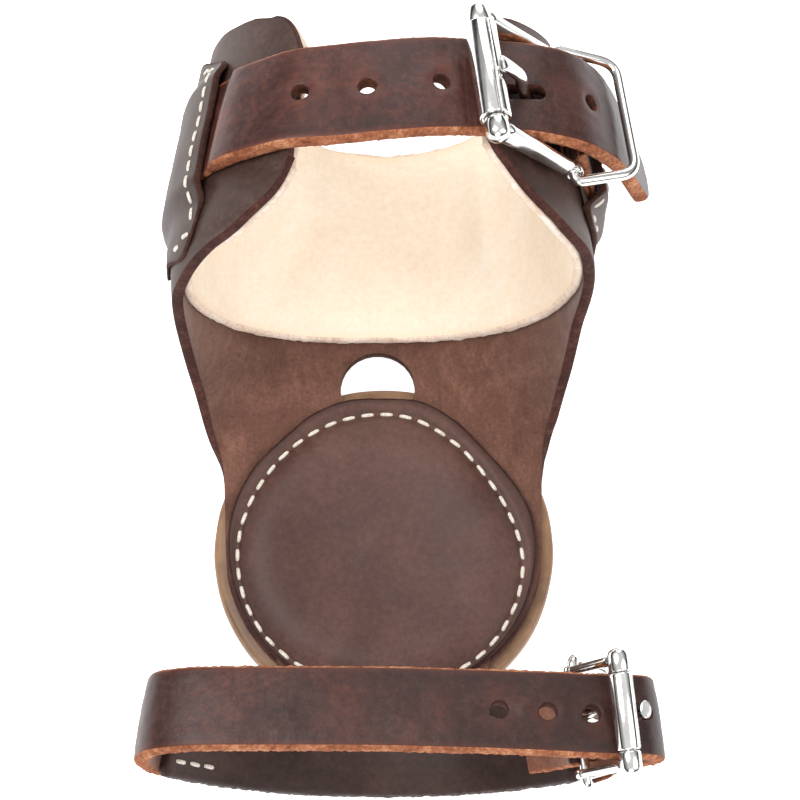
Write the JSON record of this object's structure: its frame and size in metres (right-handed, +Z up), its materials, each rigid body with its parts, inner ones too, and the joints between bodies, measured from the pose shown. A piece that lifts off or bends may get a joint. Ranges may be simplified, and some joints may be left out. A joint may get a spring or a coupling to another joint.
{
  "type": "leather horse skid boot",
  "caption": "Leather skid boot for a horse's fetlock: a lined cuff and a pastern band with buckled straps, joined by a panel with a round padded skid disc.",
  "frame": {"origin": "centre of the skid disc's flat back face, on which the boot lies", "axes": "+Z up, out of the boot's open front; +Y along the boot to the top of the cuff; +X to the side with the buckles"},
  "size_m": [0.1219, 0.1772, 0.1135],
  "materials": {
    "waxed_thread": "off-white waxed thread",
    "nickel_cast": "bright nickel-plated casting",
    "nickel_tube": "bright nickel-plated tube",
    "nickel_wire": "bright nickel-plated wire",
    "strap_leather": "oiled dark brown harness leather with raw orange-brown edges",
    "liner_leather": "cream smooth lining leather with a raw edge",
    "sole_leather": "thick tan leather, burnished edge",
    "body_leather": "dark brown leather, flesh side in, grain side out",
    "pad_leather": "smooth dark brown leather",
    "felt": "pressed felt",
    "overlay_leather": "smooth dark brown leather"
  },
  "bodies": {
    "boot": {"skid_disc": "sole_leather", "body_panel": "body_leather", "cuff_liner": "liner_leather", "pad_cover": "pad_leather", "pad_cushion": "felt", "pad_stitching": "waxed_thread", "disc_stitching": "waxed_thread", "left_overlay": "overlay_leather", "right_overlay": "overlay_leather", "left_overlay_stitching": "waxed_thread", "right_overlay_stitching": "waxed_thread", "upper_billet": "strap_leather", "upper_chape": "strap_leather", "pastern_band": "overlay_leather", "band_stitching": "waxed_thread", "lower_billet": "strap_leather", "lower_chape": "strap_leather"},
    "upper_frame": {"upper_buckle_frame": "nickel_cast"},
    "upper_tongue": {"upper_tongue": "nickel_wire"},
    "upper_roller": {"upper_roller": "nickel_tube"},
    "upper_keeper": {"upper_keeper_ring": "nickel_wire"},
    "lower_frame": {"lower_buckle_frame": "nickel_cast"},
    "lower_tongue": {"lower_tongue": "nickel_wire"},
    "lower_roller": {"lower_roller": "nickel_tube"},
    "lower_keeper": {"lower_keeper_ring": "nickel_wire"}
  },
  "joints": [
    {"name": "upper_frame_hinge", "type": "hinge", "parent": "boot", "child": "upper_frame", "pos_m": [0.0417, 0.0817, 0.0875], "axis": [-0.1238, 0.97, -0.2091], "range_deg": [0, 1.5]},
    {"name": "upper_tongue_hinge", "type": "hinge", "parent": "upper_frame", "child": "upper_tongue", "pos_m": [0.0417, 0.0817, 0.0875], "axis": [-0.1238, 0.97, -0.2091], "range_deg": [0, 2.5]},
    {"name": "upper_roller_spin", "type": "hinge", "parent": "upper_frame", "child": "upper_roller", "pos_m": [0.02381, 0.08364, 0.10709], "axis": [0.1238, -0.97, 0.2091], "continuous": true},
    {"name": "upper_keeper_hinge", "type": "hinge", "parent": "boot", "child": "upper_keeper", "pos_m": [0.0417, 0.0817, 0.0875], "axis": [0.1238, -0.97, 0.2091], "range_deg": [-4, 60]},
    {"name": "lower_frame_hinge", "type": "hinge", "parent": "boot", "child": "lower_frame", "pos_m": [0.0451, -0.0527, 0.049], "axis": [-0.1074, 0.9839, 0.1426], "range_deg": [0, 4]},
    {"name": "lower_tongue_hinge", "type": "hinge", "parent": "lower_frame", "child": "lower_tongue", "pos_m": [0.0451, -0.0527, 0.049], "axis": [-0.1074, 0.9839, 0.1426], "range_deg": [0, 6]},
    {"name": "lower_roller_spin", "type": "hinge", "parent": "lower_frame", "child": "lower_roller", "pos_m": [0.05414, -0.05458, 0.06875], "axis": [0.1074, -0.9839, -0.1426], "continuous": true},
    {"name": "lower_keeper_hinge", "type": "hinge", "parent": "boot", "child": "lower_keeper", "pos_m": [0.0451, -0.0527, 0.049], "axis": [0.1074, -0.9839, -0.1426], "range_deg": [-5, 35]}
  ]
}
